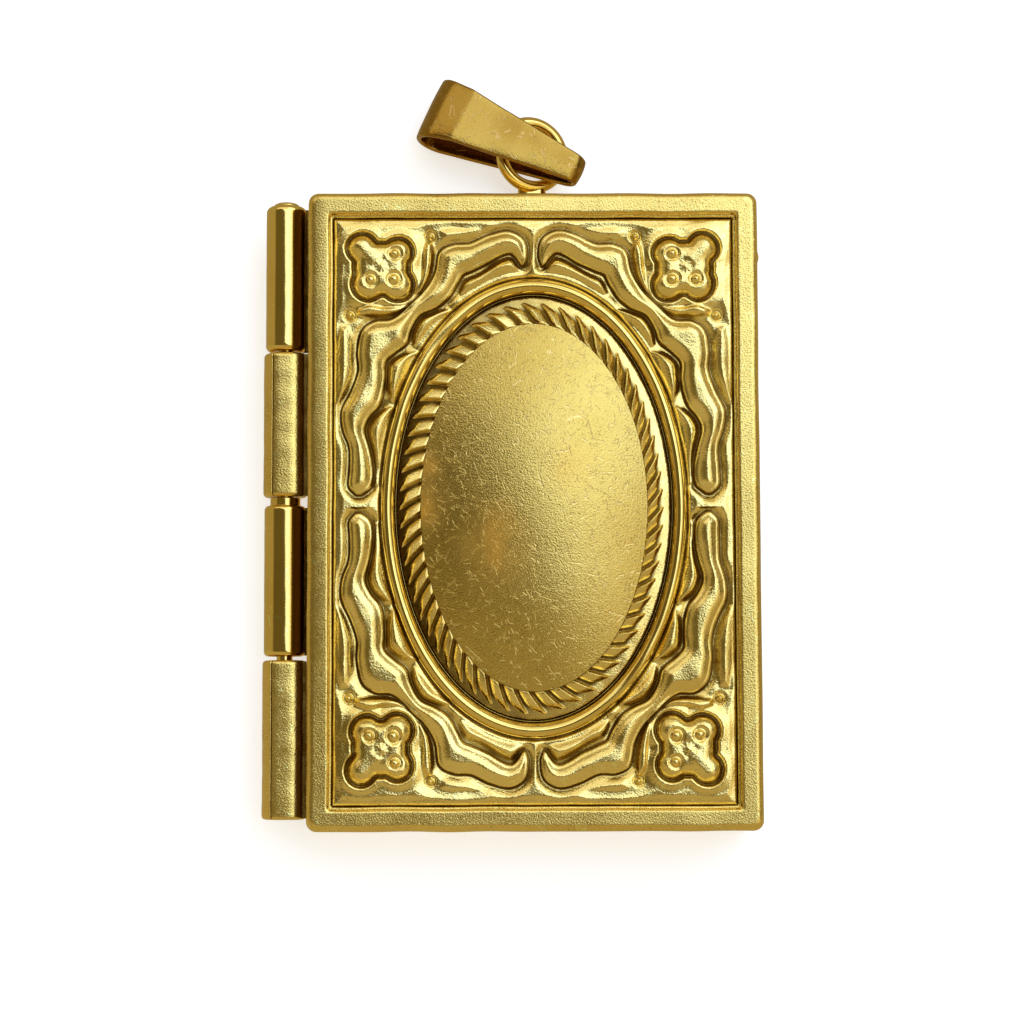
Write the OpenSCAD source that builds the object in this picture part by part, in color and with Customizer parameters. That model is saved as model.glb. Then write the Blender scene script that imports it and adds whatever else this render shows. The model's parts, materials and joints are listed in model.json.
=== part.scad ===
// A book-shaped locket, lying closed on its back cover.
// The origin is the middle of the back cover's outer face. +X points to the opening edge,
// +Y to the hanging ring and +Z up through the front cover. All lengths are in millimetres.

/* [Case] */
// Width of each cover, from its spine side to its opening edge
cover_w = 19.8; // [19.4:0.1:20.2]
// Height of each cover
cover_h = 28; // [27.6:0.1:28.4]
// Depth of each cover at its border
cover_t = 2.05; // [2:0.05:2.2]
// Gap between the closed covers
seam_gap = 0.06; // [0.05:0.01:0.08]
// Thickness of the sheet
wall_t = 0.45; // [0.4:0.05:0.5]
// Radius of the corners, seen from the front
corner_r = 0.45; // [0.4:0.05:0.6]
// Radius along the outer edges
edge_r = 0.3; // [0.2:0.05:0.35]

/* [Front] */
// Width of the plain border
border_w = 1.1; // [1:0.05:1.15]
// Drop from the border to the relief's ground
panel_drop = 0.32; // [0.25:0.01:0.4]
// Height of the leaf bands over their ground
band_h = 0.24; // [0.15:0.01:0.3]
// Height of the corner flowers over their ground
flower_h = 0.28; // [0.2:0.01:0.35]
// Half width of the oval's raised ring, along X
ring_a = 6.62; // [6.5:0.01:6.65]
// Half height of the oval's raised ring, along Y
ring_b = 9.98; // [9.9:0.01:10]
// Half width of the smooth dome, along X
dome_a = 4.95; // [4.9:0.01:5]
// Half height of the smooth dome, along Y
dome_b = 8.05; // [8:0.01:8.1]
// Rise of the dome over the relief's ground
dome_h = 1.0; // [0.8:0.05:1.1]
// Strokes in the rope border round the dome
rope_count = 58; // [50:1:60]

/* [Spine] */
// Outside radius of the hinge knuckles
knuckle_r = 0.95; // [0.9:0.01:0.97]
// Radius of the hinge pin
pin_r = 0.35; // [0.3:0.01:0.4]
// Running clearance round the pin
pin_clearance = 0.03; // [0.02:0.01:0.05]
// Clearance between the knuckles and the covers' walls
spine_gap = 0.15; // [0.12:0.01:0.2]

/* [Catch] */
// Height of the back cover's inner rim over the seam
rim_h = 0.7; // [0.5:0.05:0.8]
// Clearance between the rim and the front cover
rim_gap = 0.1; // [0.1:0.01:0.15]
// How far the thumb lip stands out of the opening edge
lip_out = 0.2; // [0.15:0.01:0.25]

/* [Hanging ring and bail] */
// Outside radius of the soldered ring
loop_r = 1.66; // [1.62:0.01:1.68]
// Wire diameter of the ring
loop_wire = 0.42; // [0.38:0.01:0.44]
// Width of the bail's wide end
bail_w = 3; // [2.8:0.1:3.1]
// Width of the bail's narrow end
bail_narrow_w = 1.2; // [1.1:0.1:1.3]
// Thickness of the bail's strap
strap_t = 0.25; // [0.2:0.01:0.25]

/* [Hidden] */

$fn = 72;
fuse = 0.05;
seam_low = cover_t;
seam_high = cover_t + seam_gap;
case_t = 2 * cover_t + seam_gap;
ground_z = case_t - panel_drop;
skin_low = ground_z - wall_t;
axis_x = -cover_w / 2 - knuckle_r - spine_gap;
axis_z = cover_t + seam_gap / 2;

// Knuckles along the spine: from_y, to_y, radius share, 1 on the front cover or 0 on the back.
// The short third row is the turned-down neck of the knuckle after it.
KNUCKLES = [
    [13.73, 7.17, 0.94, 0],
    [7.08, 0.68, 1.02, 1],
    [0.63, 0.30, 0.70, 0],
    [0.30, -6.36, 0.97, 0],
    [-6.54, -13.5, 1.02, 1]
];
FIRST_Y = KNUCKLES[0][0];
LAST_Y = KNUCKLES[len(KNUCKLES) - 1][1];
pin_head_r = 0.58;
pin_head_h = 0.2;

// The ornament is drawn once in u and v, measured outwards from the oval's centre, on a cover
// of this size, and mirrored into the four quarters.
DRAWN_W = 19.8;
DRAWN_H = 28;
oval_y = 0.1;
// Where the leaf bands end near the waist, above and below it, and where they end at the top
waist_upper = 0.6;
waist_lower = 0.28;
band_top = 12.2;

// The leaf band's sections, from its hook at the top to its round end at the waist
BAND = [
    // outer_u, outer_v, inner_u, inner_v
    [0.42, 10.70, 0.50, 10.72],
    [0.30, 11.15, 0.78, 11.12],
    [0.45, 11.85, 1.05, 11.28],
    [1.10, 12.20, 1.45, 11.15],
    [1.95, 12.00, 2.00, 10.82],
    [2.75, 11.62, 2.70, 10.50],
    [3.50, 11.58, 3.15, 10.30],
    [4.10, 11.25, 3.40, 9.85],
    [4.30, 10.35, 3.75, 9.25],
    [4.75, 9.55, 4.30, 8.85],
    [5.45, 8.85, 5.00, 8.52],
    [6.20, 8.25, 5.40, 7.85],
    [6.95, 8.18, 5.60, 7.25],
    [7.50, 7.75, 6.15, 6.80],
    [7.68, 6.80, 6.55, 6.35],
    [7.65, 6.00, 6.55, 5.60],
    [7.95, 5.10, 6.75, 4.60],
    [8.35, 4.25, 7.20, 4.00],
    [8.30, 3.40, 7.42, 3.40],
    [8.05, 2.60, 7.22, 2.60],
    [8.05, 1.60, 7.05, 1.60],
    [8.05, 0.95, 7.15, 0.95],
    [7.75, 0.60, 7.55, 0.60]
];
// The two crescents that curl round the flower from the berries
CRESCENT_TOP = [
    [4.70, 11.70, 4.45, 11.70],
    [4.85, 11.30, 4.40, 11.20],
    [4.90, 10.60, 4.48, 10.50],
    [4.95, 10.00, 4.62, 9.95],
    [5.10, 9.45, 4.95, 9.45]
];
CRESCENT_SIDE = [
    [7.75, 8.75, 7.70, 8.45],
    [7.20, 8.90, 7.20, 8.42],
    [6.50, 8.80, 6.50, 8.42],
    [6.00, 8.80, 5.95, 8.52],
    [5.60, 8.90, 5.60, 8.82]
];
// The small leaves between the band and the oval, and between the band and the border
LEAF_CROWN = [
    [3.20, 9.45, 3.15, 9.42],
    [3.00, 9.95, 2.60, 9.75],
    [2.30, 10.30, 1.90, 10.15],
    [1.50, 10.80, 1.20, 10.38],
    [0.90, 10.95, 0.75, 10.42],
    [0.50, 10.45, 0.45, 10.42]
];
LEAF_SHOULDER = [
    [5.25, 7.15, 5.20, 7.12],
    [5.25, 7.80, 4.85, 7.60],
    [4.85, 8.40, 4.45, 8.10],
    [4.30, 8.62, 4.05, 8.45],
    [3.75, 8.68, 3.70, 8.66]
];
LEAF_SIDE = [
    [6.15, 4.70, 6.10, 4.70],
    [6.42, 5.50, 5.85, 5.40],
    [6.25, 6.30, 5.60, 6.10],
    [5.70, 6.70, 5.40, 6.60],
    [5.25, 6.80, 5.20, 6.78]
];
LEAF_WAIST = [
    [6.98, 1.00, 6.85, 1.00],
    [6.98, 2.20, 6.75, 2.20],
    [7.20, 3.30, 6.62, 3.20],
    [6.90, 4.00, 6.40, 3.90],
    [6.30, 4.40, 6.20, 4.35]
];
LEAF_EDGE = [
    [8.45, 8.00, 8.10, 7.95],
    [8.58, 7.20, 7.95, 7.00],
    [8.60, 6.20, 8.00, 6.00],
    [8.62, 5.40, 8.22, 5.20],
    [8.62, 4.60, 8.55, 4.60]
];
LEAF_BERRY = [
    [4.15, 12.25, 3.95, 11.80],
    [3.60, 12.40, 3.40, 11.82],
    [3.00, 12.35, 2.80, 12.05],
    [2.40, 12.35, 2.30, 12.30]
];
LOW_FORMS = [
    CRESCENT_TOP, CRESCENT_SIDE, LEAF_CROWN, LEAF_SHOULDER, LEAF_SIDE, LEAF_WAIST, LEAF_EDGE, LEAF_BERRY
];
low_form_h = 0.18;

// Round parts of the ornament: u, v, radius
LOBES = [[7.50, 11.45, 0.75], [5.97, 11.25, 0.73], [5.97, 9.80, 0.77], [7.27, 9.85, 0.77]];
FLOWER_MIDDLE = [6.68, 10.55, 0.85];
STUDS = [[6.08, 11.15, 0.28], [7.15, 10.00, 0.28], [6.12, 10.02, 0.30]];
BERRIES = [[4.50, 11.95, 0.24], [8.05, 8.45, 0.26]];
stud_h = 0.12;
petal_u = 7.4;
petal_v = 11.32;
petal_l = 0.72;
petal_w = 0.34;

// The ring's crest, and the rope's inner and outer ends
ring_w = 0.56;
crest_inset = 0.13;
crest_h = 0.32;
ring_h = 0.24;
rope_in = 0.06;
rope_out = 0.9;
rope_w = 0.36;
rope_h = 0.2;
// Each stroke leans clockwise by this share of the rope's width
rope_lean = 0.8;

// The hanging ring's centre over the middle of the case's top wall, how its left side is tilted
// up and turned towards the case, in degrees, and its solder foot
loop_rise = 2.37;
loop_z = 1.02;
loop_tilt = 22;
loop_turn = 6;
foot_w = 1.7;
foot_t = 0.5;

// The bail's place: where its narrow fold begins, and its turn, pitch and roll in degrees
bail_at = [2.21, 15.31, 1.87];
bail_turn = 155.7;
bail_pitch = 2.7;
bail_roll = 5.9;
// The bail's loop seen from its side, with s along it and t towards its front: the narrow and
// the wide fold's middle and radius, and the crisp bend in its front leaf
NARROW_FOLD = [0.58, 0, 0.58];
WIDE_FOLD = [6.42, -0.2, 1.08];
BEND = [5.9, 1.1];
bail_l = WIDE_FOLD[0] + WIDE_FOLD[2];

function curve(a, b, c, d, t) =
    0.5 * (2 * b + (c - a) * t + (2 * a - 5 * b + 4 * c - d) * t * t + (3 * b - a - 3 * c + d) * t * t * t);

// A smooth open curve through points p, with the given steps between two of them
function smooth(p, steps) =
    let (n = len(p), q = concat([2 * p[0] - p[1]], p, [2 * p[n - 1] - p[n - 2]]))
    [
        for (i = [0 : n - 1])
            for (k = [0 : (i == n - 1 ? 0 : steps - 1)])
                i == n - 1 ? p[i] : curve(q[i], q[i + 1], q[i + 2], q[i + 3], k / steps)
    ];

function reversed(p) = [for (i = [len(p) - 1 : -1 : 0]) p[i]];

// The outline of a band from its table of sections
function band_outline(rows, steps) =
    concat(
        smooth([for (r = rows) [r[0], r[1]]], steps),
        reversed(smooth([for (r = rows) [r[2], r[3]]], steps))
    );

// The lower bands reach nearer to the waist than the upper ones
function lower_v(v) = waist_lower + (v - waist_upper) * (band_top - waist_lower) / (band_top - waist_upper);

// A point of the ornament in the quarter of the given signs
function placed(p, side, half) = [
    side * p[0] * cover_w / DRAWN_W,
    oval_y + half * (half > 0 ? p[1] : lower_v(p[1])) * cover_h / DRAWN_H
];

// Arc length against angle round an ellipse, as a table for lookup()
function arc_table(a, b, steps) = [
    for (
        i = 0, s = 0;
        i <= steps;
        i = i + 1, s = s + norm([
            a * (cos(360 * i / steps) - cos(360 * (i - 1) / steps)),
            b * (sin(360 * i / steps) - sin(360 * (i - 1) / steps))
        ])
    ) [s, 360 * i / steps]
];

module plate(w, h, t, r) {
    linear_extrude(t)
        union() {
            square([w - 2 * r, h], center = true);
            square([w, h - 2 * r], center = true);
            for (x = [-1, 1])
                for (y = [-1, 1])
                    translate([x * (w / 2 - r), y * (h / 2 - r)]) circle(r);
        }
}

// A bar of width w and height t along Y, with its two upper edges rounded
module soft_bar(w, l, t, r) {
    translate([-w / 2, -l / 2, 0]) cube([w, l, t - r]);
    translate([-w / 2 + r, -l / 2, 0]) cube([w - 2 * r, l, t]);
    for (x = [-1, 1])
        translate([x * (w / 2 - r), l / 2, t - r]) rotate([90, 0, 0]) cylinder(r = r, h = l);
}

// A cover's block, with rounded corners and rounded upper edges
module soft_block() {
    intersection() {
        plate(cover_w, cover_h, cover_t, corner_r);
        soft_bar(cover_w, cover_h + 2, cover_t, edge_r);
        rotate([0, 0, 90]) soft_bar(cover_h, cover_w + 2, cover_t, edge_r);
    }
}

module oval(a, b, h) {
    scale([a / b, 1, 1]) cylinder(r = b, h = h, $fn = 144);
}

// A cap of a ball, stretched to an oval, standing on z = 0
module dome_cap(a, b, h) {
    ball_r = (b * b + h * h) / (2 * h);
    scale([a / b, 1, 1])
        intersection() {
            translate([0, 0, h - ball_r]) sphere(r = ball_r, $fn = 360);
            cylinder(r = b, h = h + 1, $fn = 144);
        }
}

module quarter_prism(rows, side, half, h, steps) {
    linear_extrude(h) polygon([for (p = band_outline(rows, steps)) placed(p, side, half)]);
}

module round_at(c, side, half, h) {
    translate(placed(c, side, half)) cylinder(r = c[2], h = h, $fn = 40);
}

// A domed stud or berry, a little proud of what it stands on
module stud_at(c, side, half, z) {
    translate(concat(placed(c, side, half), [z]))
        intersection() {
            sphere(r = c[2], $fn = 40);
            translate([0, 0, -fuse]) cylinder(r = 2 * c[2], h = 1, $fn = 40);
        }
}

module flower(side, half) {
    union() {
        for (c = LOBES) round_at(c, side, half, flower_h + fuse);
        round_at(FLOWER_MIDDLE, side, half, flower_h + fuse);
        for (c = STUDS) stud_at(c, side, half, flower_h + fuse);
        translate(placed([petal_u, petal_v], side, half))
            rotate([0, 0, side * half > 0 ? 45 : -45])
                scale([petal_l / petal_w, 1, 1]) cylinder(r = petal_w, h = flower_h + stud_h + fuse, $fn = 48);
    }
}

module quarter(side, half) {
    quarter_prism(BAND, side, half, band_h + fuse, 2);
    for (rows = LOW_FORMS) quarter_prism(rows, side, half, low_form_h + fuse, 1);
    for (c = BERRIES) stud_at(c, side, half, fuse);
    flower(side, half);
}

module oval_ring() {
    difference() {
        oval(ring_a, ring_b, ring_h + fuse);
        translate([0, 0, -1]) oval(ring_a - ring_w, ring_b - ring_w, 3);
    }
    difference() {
        oval(ring_a - crest_inset, ring_b - crest_inset, crest_h + fuse);
        translate([0, 0, -1]) oval(ring_a - ring_w + crest_inset, ring_b - ring_w + crest_inset, 3);
    }
}

// The slanted strokes of the rope border, evenly spaced round the dome
module rope() {
    mid = (rope_in + rope_out) / 2;
    half_l = (rope_out - rope_in) / 2;
    table = arc_table(dome_a + mid, dome_b + mid, 720);
    turn = table[720][0];
    for (i = [0 : rope_count - 1]) {
        angle = lookup(turn * i / rope_count, table);
        along = atan2((dome_b + mid) * cos(angle), -(dome_a + mid) * sin(angle));
        translate([(dome_a + mid) * cos(angle), (dome_b + mid) * sin(angle), 0])
            rotate([0, 0, along])
                linear_extrude(rope_h + fuse)
                    polygon([
                        [rope_lean * half_l, -half_l],
                        [rope_lean * half_l + rope_w * 0.3, -half_l * 0.5],
                        [rope_w * 0.1, half_l * 0.45],
                        [-rope_lean * half_l, half_l],
                        [-rope_lean * half_l - rope_w * 0.45, half_l * 0.6],
                        [-rope_w * 0.5, -half_l * 0.2]
                    ]);
    }
}

module relief() {
    translate([0, 0, ground_z - fuse]) {
        for (side = [-1, 1])
            for (half = [-1, 1])
                quarter(side, half);
        translate([0, oval_y, 0]) {
            oval_ring();
            rope();
            dome_cap(dome_a, dome_b, dome_h + fuse);
        }
    }
}

// One knuckle as a tube's outside along Y, with the leaf that joins it to its cover
module knuckle(row) {
    r = knuckle_r * row[2];
    l = row[0] - row[1];
    translate([axis_x, row[0], axis_z]) rotate([90, 0, 0]) cylinder(r = r, h = l);
    leaf_high = row[3] == 1 ? axis_z + r * 0.96 : axis_z - r * 0.25;
    leaf_low = row[3] == 1 ? axis_z + r * 0.25 : axis_z - r * 0.96;
    translate([axis_x, row[1], leaf_low])
        cube([-cover_w / 2 + wall_t / 2 - axis_x, l, leaf_high - leaf_low]);
}

module pin_bore() {
    translate([axis_x, cover_h, axis_z])
        rotate([90, 0, 0]) cylinder(r = pin_r + pin_clearance, h = 2 * cover_h);
}

module thumb_lip() {
    lip_l = 1.4;
    translate([cover_w / 2 - lip_l / 2 + lip_out, 11.4, seam_high])
        cylinder(r = lip_l / 2, h = 0.45);
}

module front_cover() {
    color([0.85, 0.68, 0.30])
        difference() {
            union() {
                difference() {
                    translate([0, 0, seam_high]) soft_block();
                    translate([0, 0, ground_z])
                        plate(cover_w - 2 * border_w, cover_h - 2 * border_w, 1, 0.15);
                }
                relief();
                for (row = KNUCKLES)
                    if (row[3] == 1) knuckle(row);
                thumb_lip();
            }
            translate([0, 0, seam_high - 1])
                plate(cover_w - 2 * wall_t, cover_h - 2 * wall_t, skin_low - seam_high + 1, 0.2);
            translate([0, oval_y, skin_low - fuse])
                dome_cap(dome_a - wall_t, dome_b - wall_t, dome_h + fuse - 0.1);
            pin_bore();
        }
}

// The back cover's inner rim, which the front cover closes over with a friction fit
module catch_rim() {
    inset = wall_t + rim_gap;
    rim_t = 0.3;
    outer_w = cover_w - 2 * inset;
    outer_h = cover_h - 2 * inset;
    difference() {
        union() {
            translate([0, 0, wall_t - fuse])
                plate(cover_w - wall_t, cover_h - wall_t, seam_low - wall_t + fuse, 0.2);
            translate([0, 0, wall_t]) plate(outer_w, outer_h, seam_low + rim_h - wall_t, 0.2);
        }
        translate([0, 0, wall_t - 2 * fuse])
            plate(outer_w - 2 * rim_t, outer_h - 2 * rim_t, 3 * cover_t, 0.15);
        translate([-cover_w / 2 - 1, -cover_h, seam_low]) cube([3, 2 * cover_h, 2]);
    }
}

// The soldered ring, and the foot between it and the case's top wall
module hanging_ring() {
    wire_r = loop_wire / 2;
    wall_y = cover_h / 2 - wall_t / 2;
    translate([0, cover_h / 2 + loop_rise, loop_z])
        rotate([0, 0, loop_turn])
            rotate([0, loop_tilt, 0])
                rotate_extrude() translate([loop_r - wire_r, 0]) circle(wire_r, $fn = 24);
    foot_l = cover_h / 2 + loop_rise - loop_r + wire_r - wall_y;
    translate([-foot_w / 2, wall_y, loop_z - foot_t / 2]) cube([foot_w, foot_l, foot_t]);
}

module back_cover() {
    color([0.80, 0.63, 0.27])
        difference() {
            union() {
                difference() {
                    translate([0, 0, cover_t]) mirror([0, 0, 1]) soft_block();
                    translate([0, 0, wall_t])
                        plate(cover_w - 2 * wall_t, cover_h - 2 * wall_t, cover_t, 0.2);
                }
                catch_rim();
                hanging_ring();
                for (row = KNUCKLES)
                    if (row[3] == 0) knuckle(row);
            }
            pin_bore();
        }
}

// The pin through the four knuckles, with a low domed head at the top of the spine
module hinge_pin() {
    color([0.88, 0.72, 0.34]) {
        translate([axis_x, FIRST_Y + fuse, axis_z])
            rotate([90, 0, 0]) cylinder(r = pin_r, h = FIRST_Y - LAST_Y + fuse);
        ball_r = (pin_head_r * pin_head_r + pin_head_h * pin_head_h) / (2 * pin_head_h);
        translate([axis_x, FIRST_Y + 0.02, axis_z])
            rotate([-90, 0, 0])
                intersection() {
                    translate([0, 0, pin_head_h - ball_r]) sphere(r = ball_r);
                    cylinder(r = pin_head_r, h = 1);
                }
    }
}

// The point where a line from p touches the circle c, on the left or the right of the way to p
function touch(c, p, left) =
    let (
        d = p - [c[0], c[1]],
        angle = atan2(d[1], d[0]) + (left ? 1 : -1) * acos(c[2] / norm(d))
    )
    [c[0], c[1]] + c[2] * [cos(angle), sin(angle)];

// The direction from a circle's middle to where the line along the lower sides of both touches it
function lower_way(c1, c2) =
    let (
        d = [c2[0] - c1[0], c2[1] - c1[1]],
        angle = atan2(d[1], d[0]) - asin((c2[2] - c1[2]) / norm(d)) - 90
    )
    [cos(angle), sin(angle)];

// The bail's side view, filled, drawn in by an inset
module bail_side(inset) {
    narrow = NARROW_FOLD - [0, 0, inset];
    wide = WIDE_FOLD - [0, 0, inset];
    leaf = touch(NARROW_FOLD, BEND, true) - [NARROW_FOLD[0], NARROW_FOLD[1]];
    facet = touch(WIDE_FOLD, BEND, false) - [WIDE_FOLD[0], WIDE_FOLD[1]];
    n1 = leaf / norm(leaf);
    n2 = facet / norm(facet);
    bend = BEND - inset * (n1 + n2) / (1 + n1 * n2);
    down = lower_way(NARROW_FOLD, WIDE_FOLD);
    translate([narrow[0], narrow[1]]) circle(narrow[2]);
    translate([wide[0], wide[1]]) circle(wide[2]);
    polygon([
        [narrow[0], narrow[1]] + narrow[2] * n1,
        [narrow[0], narrow[1]] + narrow[2] * down,
        [wide[0], wide[1]] + wide[2] * down,
        [wide[0], wide[1]] + wide[2] * n2,
        bend
    ]);
}

// A closed strap shape of the bail's side view, w wide
module bail_block(inset, w) {
    rotate([90, 0, 0])
        translate([0, 0, -w / 2])
            linear_extrude(w)
                union() {
                    bail_side(inset);
                }
}

module bail() {
    color([0.86, 0.70, 0.33])
        translate(bail_at)
            rotate([0, 0, bail_turn])
                rotate([0, bail_pitch, 0])
                    rotate([bail_roll, 0, 0])
                        difference() {
                            intersection() {
                                bail_block(0, 2 * bail_w);
                                translate([0, 0, -bail_w])
                                    linear_extrude(2 * bail_w)
                                        polygon([
                                            [0, -bail_narrow_w / 2],
                                            [0, bail_narrow_w / 2],
                                            [bail_l, bail_w / 2],
                                            [bail_l, -bail_w / 2]
                                        ]);
                            }
                            bail_block(strap_t, 3 * bail_w);
                        }
}

front_cover();
back_cover();
hinge_pin();
bail();
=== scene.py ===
"""A book-shaped brass locket with a cast front cover, lying closed on its back.

Lengths are in millimetres until a mesh is made. +X points to the opening edge, +Y to the hanging ring
and +Z up through the front cover, with the origin under the middle of the back.
"""
import json
import math

import bpy
import numpy as np
from mathutils import Matrix, Vector


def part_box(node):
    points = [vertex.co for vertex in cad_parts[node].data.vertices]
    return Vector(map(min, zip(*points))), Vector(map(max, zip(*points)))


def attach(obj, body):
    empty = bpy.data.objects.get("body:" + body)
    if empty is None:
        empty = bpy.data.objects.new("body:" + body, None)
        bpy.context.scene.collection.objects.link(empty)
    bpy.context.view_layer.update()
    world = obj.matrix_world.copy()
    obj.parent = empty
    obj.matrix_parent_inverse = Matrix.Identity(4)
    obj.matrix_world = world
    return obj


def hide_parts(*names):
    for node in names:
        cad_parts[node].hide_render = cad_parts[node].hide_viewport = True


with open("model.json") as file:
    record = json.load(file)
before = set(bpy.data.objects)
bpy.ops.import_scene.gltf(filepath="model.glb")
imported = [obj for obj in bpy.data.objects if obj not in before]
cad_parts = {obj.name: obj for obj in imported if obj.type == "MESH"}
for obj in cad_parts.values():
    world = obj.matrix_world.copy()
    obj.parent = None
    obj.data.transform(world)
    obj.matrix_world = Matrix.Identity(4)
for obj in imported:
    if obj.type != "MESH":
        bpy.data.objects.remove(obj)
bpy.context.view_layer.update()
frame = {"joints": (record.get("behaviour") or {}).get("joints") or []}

MM = 0.001

# Sizes that the frame gives
_, case_high = [np.array(corner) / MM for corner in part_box("back_cover")]
_, cover_high = [np.array(corner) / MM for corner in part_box("front_cover")]
pin_low, pin_high = [np.array(corner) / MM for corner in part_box("hinge_pin")]
hinge_x, _, hinge_z = [value / MM for value in frame["joints"][0]["pos_m"]]
half_w = case_high[0]
half_h = cover_high[1]

# Sizes of the two covers
cover_t = 2.05
seam_gap = 0.06
wall_t = 0.45
case_t = 2 * cover_t + seam_gap
corner_r = 0.45
border_w = 1.1
panel_drop = 0.32
ground_z = case_t - panel_drop
edge_r = 0.38
edge_w = 0.32

# The oval in the middle of the front
oval_y = 0.1
ring_inner = (5.97, 9.27)
ring_outer = (6.74, 10.14)
rope_outer = (5.97, 9.27)
dome_edge = (4.95, 8.05)
dome_h = 1.0
rope_count = 58

# Outlines of the ornament, drawn once in u and v outwards from the oval's centre. The lower quarters
# reach nearer to the waist than the upper ones.
waist_upper = 0.6
waist_lower = 0.28
band_top = 12.2

# Sections of each form, from one end to the other: outer_u, outer_v, inner_u, inner_v
BAND = [
    (0.42, 10.70, 0.50, 10.72),
    (0.30, 11.15, 0.78, 11.12),
    (0.45, 11.85, 1.05, 11.28),
    (1.10, 12.20, 1.45, 11.15),
    (1.95, 12.00, 2.00, 10.82),
    (2.75, 11.62, 2.70, 10.50),
    (3.50, 11.58, 3.15, 10.30),
    (4.10, 11.25, 3.40, 9.85),
    (4.30, 10.35, 3.75, 9.25),
    (4.75, 9.55, 4.30, 8.85),
    (5.45, 8.85, 5.00, 8.52),
    (6.20, 8.25, 5.40, 7.85),
    (6.95, 8.18, 5.60, 7.25),
    (7.50, 7.75, 6.15, 6.80),
    (7.68, 6.80, 6.55, 6.35),
    (7.65, 6.00, 6.55, 5.60),
    (7.95, 5.10, 6.75, 4.60),
    (8.35, 4.25, 7.20, 4.00),
    (8.30, 3.40, 7.42, 3.40),
    (8.05, 2.60, 7.22, 2.60),
    (8.05, 1.60, 7.05, 1.60),
    (8.05, 0.95, 7.15, 0.95),
    (7.75, 0.60, 7.55, 0.60),
]
CRESCENT_TOP = [
    (4.70, 11.70, 4.45, 11.70),
    (4.85, 11.30, 4.40, 11.20),
    (4.90, 10.60, 4.48, 10.50),
    (4.95, 10.00, 4.62, 9.95),
    (5.10, 9.45, 4.95, 9.45),
]
CRESCENT_SIDE = [
    (7.75, 8.75, 7.70, 8.45),
    (7.20, 8.90, 7.20, 8.42),
    (6.50, 8.80, 6.50, 8.42),
    (6.00, 8.80, 5.95, 8.52),
    (5.60, 8.90, 5.60, 8.82),
]
LEAF_CROWN = [
    (3.20, 9.45, 3.15, 9.42),
    (3.00, 9.95, 2.60, 9.75),
    (2.30, 10.30, 1.90, 10.15),
    (1.50, 10.80, 1.20, 10.38),
    (0.90, 10.95, 0.75, 10.42),
    (0.50, 10.45, 0.45, 10.42),
]
LEAF_SHOULDER = [
    (5.25, 7.15, 5.20, 7.12),
    (5.25, 7.80, 4.85, 7.60),
    (4.85, 8.40, 4.45, 8.10),
    (4.30, 8.62, 4.05, 8.45),
    (3.75, 8.68, 3.70, 8.66),
]
LEAF_SIDE = [
    (6.15, 4.70, 6.10, 4.70),
    (6.42, 5.50, 5.85, 5.40),
    (6.25, 6.30, 5.60, 6.10),
    (5.70, 6.70, 5.40, 6.60),
    (5.25, 6.80, 5.20, 6.78),
]
LEAF_WAIST = [
    (6.98, 1.00, 6.85, 1.00),
    (6.98, 2.20, 6.75, 2.20),
    (7.20, 3.30, 6.62, 3.20),
    (6.90, 4.00, 6.40, 3.90),
    (6.30, 4.40, 6.20, 4.35),
]
LEAF_EDGE = [
    (8.45, 8.00, 8.10, 7.95),
    (8.58, 7.20, 7.95, 7.00),
    (8.60, 6.20, 8.00, 6.00),
    (8.62, 5.40, 8.22, 5.20),
    (8.62, 4.60, 8.55, 4.60),
]
LEAF_BERRY = [
    (4.15, 12.25, 3.95, 11.80),
    (3.60, 12.40, 3.40, 11.82),
    (3.00, 12.35, 2.80, 12.05),
    (2.40, 12.35, 2.30, 12.30),
]

# How each form stands: outline, height, width of its rounded shoulder, groove depth, height of the fine
# crest on its outline
FORMS = [
    (BAND, 0.22, 0.42, 0.15, 0.07),
    (CRESCENT_TOP, 0.18, 0.19, 0.02, 0.0),
    (CRESCENT_SIDE, 0.18, 0.19, 0.02, 0.0),
    (LEAF_CROWN, 0.14, 0.32, 0.05, 0.0),
    (LEAF_SHOULDER, 0.16, 0.32, 0.05, 0.0),
    (LEAF_SIDE, 0.16, 0.32, 0.05, 0.0),
    (LEAF_WAIST, 0.14, 0.30, 0.05, 0.0),
    (LEAF_EDGE, 0.10, 0.30, 0.02, 0.0),
    (LEAF_BERRY, 0.05, 0.30, 0.0, 0.0),
]

# Round parts: u, v, radius
LOBES = [(7.50, 11.45, 0.80), (5.97, 11.25, 0.80), (5.97, 9.80, 0.84), (7.27, 9.85, 0.84)]
FLOWER_MIDDLE = (6.68, 10.55, 1.33)
STUDS = [(6.08, 11.15, 0.25), (7.15, 10.00, 0.25), (6.12, 10.02, 0.27)]
BERRIES = [(4.50, 11.95, 0.17), (8.05, 8.45, 0.18)]
petal_from = (6.95, 10.92)
petal_to = (7.55, 11.55)
petal_r = 0.34
star_at = (6.66, 10.58)
star_rays = 9

# The groove beside each form: how far outside the outline it lies, and the widths of its gentle far side
# and of its steep side at the form
groove_out, groove_far, groove_near = 0.09, 0.22, 0.065
# Heights of the berries, of the flower's pillow and of the rim round it, and the depths of their grooves
berry_h, berry_groove = 0.16, 0.08
pillow_h, rim_h, flower_groove = 0.28, 0.13, 0.16
# The panel's groove along its edges and the tarnish and painted shade in it, each as depth and width
edge_groove, edge_tarnish_and_shade = (0.12, 0.07), (0.16, 0.05)
# The panel's ground swells away from the outlines. How far from an outline it still feels it.
swell_h, swell_reach, outline_reach = 0.07, 0.45, 0.15
# How far the forms wander and the surface is uneven, each as height and wave length
wander, uneven = (0.02, 2.6), (0.012, 1.5)


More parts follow.
